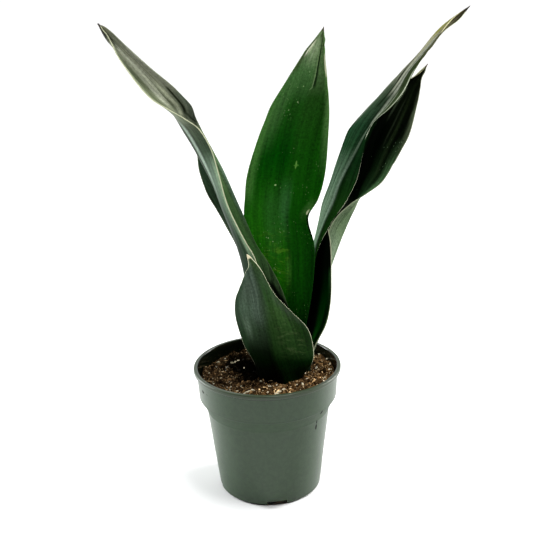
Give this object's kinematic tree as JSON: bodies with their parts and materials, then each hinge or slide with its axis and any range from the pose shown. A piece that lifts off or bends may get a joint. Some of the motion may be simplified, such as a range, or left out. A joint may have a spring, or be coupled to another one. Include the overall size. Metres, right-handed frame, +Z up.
{
  "type": "potted black diamond snake plant",
  "caption": "Young snake plant with dark, folded, sword-shaped leaves with pale margins, growing in soil in a round grey-green plastic nursery pot.",
  "frame": {"origin": "middle of the flat underside of the pot", "axes": "+Z up along the plant, +X to the right and -Y to the front as the plant is shown"},
  "size_m": [0.2515, 0.114, 0.366],
  "materials": {
    "pot_plastic": "satin grey-green moulded plastic",
    "potting_soil": "crumbly peat mix with white perlite",
    "rhizome_skin": "dry fibrous skin",
    "leaf_face": "smooth waxy deep green leaf",
    "leaf_back": "smooth waxy slate green leaf with a faint sheen"
  },
  "bodies": {
    "root": {"pot": "pot_plastic", "soil": "potting_soil", "rhizome": "rhizome_skin", "leaf_centre": "leaf_face", "leaf_left": "leaf_back", "leaf_front": "leaf_back", "leaf_right": "leaf_back", "leaf_right_inner": "leaf_face", "leaf_right_low": "leaf_face", "leaf_left_low": "leaf_back"}
  },
  "joints": []
}
